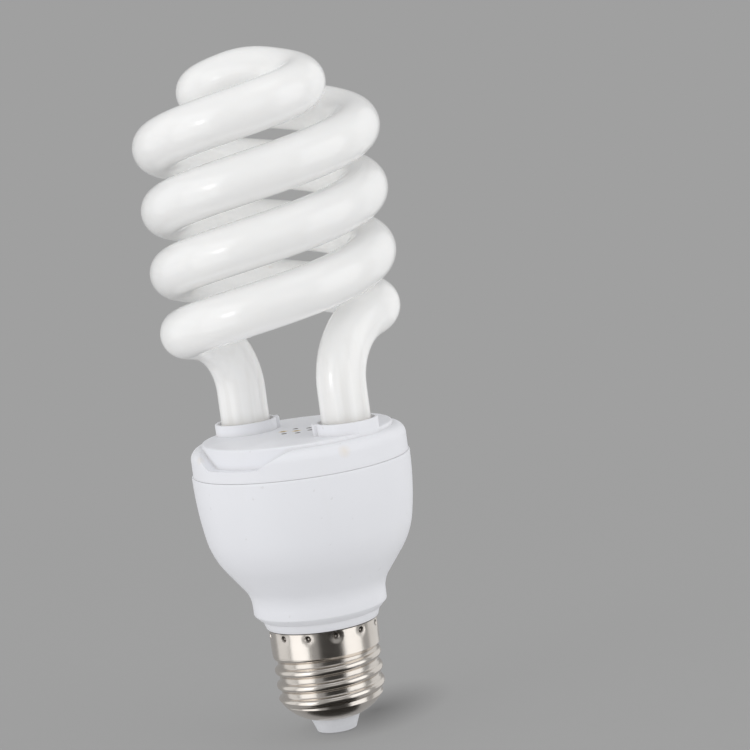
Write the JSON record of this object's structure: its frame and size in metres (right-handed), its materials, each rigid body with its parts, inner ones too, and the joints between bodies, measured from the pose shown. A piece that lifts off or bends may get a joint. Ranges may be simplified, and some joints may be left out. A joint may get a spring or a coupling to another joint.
{
  "type": "spiral energy saving bulb",
  "caption": "Compact fluorescent lamp: a white spiral glass tube on two legs, a round two-part housing and a metal screw cap.",
  "frame": {"origin": "tip of the cap's centre contact, on the lamp's axis", "axes": "+Z along the lamp's axis from the cap to the crown of the spiral, +X from the axis through one of the spiral's two legs"},
  "size_m": [0.0586, 0.0586, 0.1652],
  "materials": {
    "coated_glass": "clear glass tube with a white phosphor coating inside, opaque",
    "white_plastic": "smooth moulded white plastic",
    "cap_metal": "rolled thin sheet, bright with soft streaks",
    "insulator": "white moulded insulator",
    "contact_metal": "tinned, lightly worn",
    "board": "paper laminate board with solder on the upper face",
    "pin_metal": "tinned steel",
    "copper": "enamelled copper wire",
    "wire_sleeve": "insulated hook-up wire",
    "can_sleeve": "dark shrink sleeve",
    "ferrite": "grey-black sintered ferrite",
    "bobbin": "black moulded base",
    "film": "dipped epoxy",
    "package": "black moulded package",
    "resistor": "lacquered resistor body",
    "thermistor": "lacquered ceramic disc",
    "cement": "white bonding cement",
    "seal_glass": "clear glass foot"
  },
  "bodies": {
    "root": {"spiral_tube": "coated_glass", "top_cover": "white_plastic", "lower_housing": "white_plastic", "screw_shell": "cap_metal", "insulator": "insulator", "centre_contact": "contact_metal", "circuit_board": "board", "board_pins": "pin_metal", "contact_wire": "wire_sleeve", "shell_wire": "wire_sleeve", "electrolytic_capacitor": "can_sleeve", "choke_base": "bobbin", "choke_core": "ferrite", "choke_winding": "copper", "ring_core": "ferrite", "ring_winding": "copper", "resonance_capacitor": "film", "coupling_capacitor": "film", "inner_transistor": "package", "outer_transistor": "package", "fuse_resistor": "resistor", "disc_thermistor": "thermistor", "filter_inductor": "ferrite", "bias_resistor": "resistor", "trigger_resistor": "resistor", "tube_cement_left": "cement", "tube_cement_right": "cement", "tube_seal_left": "seal_glass", "tube_seal_right": "seal_glass", "lead_wire_left_front": "pin_metal", "lead_wire_left_rear": "pin_metal", "lead_wire_right_front": "pin_metal", "lead_wire_right_rear": "pin_metal", "rectifier_diode_1": "package", "rectifier_diode_2": "package", "rectifier_diode_3": "package", "rectifier_diode_4": "package"}
  },
  "joints": []
}
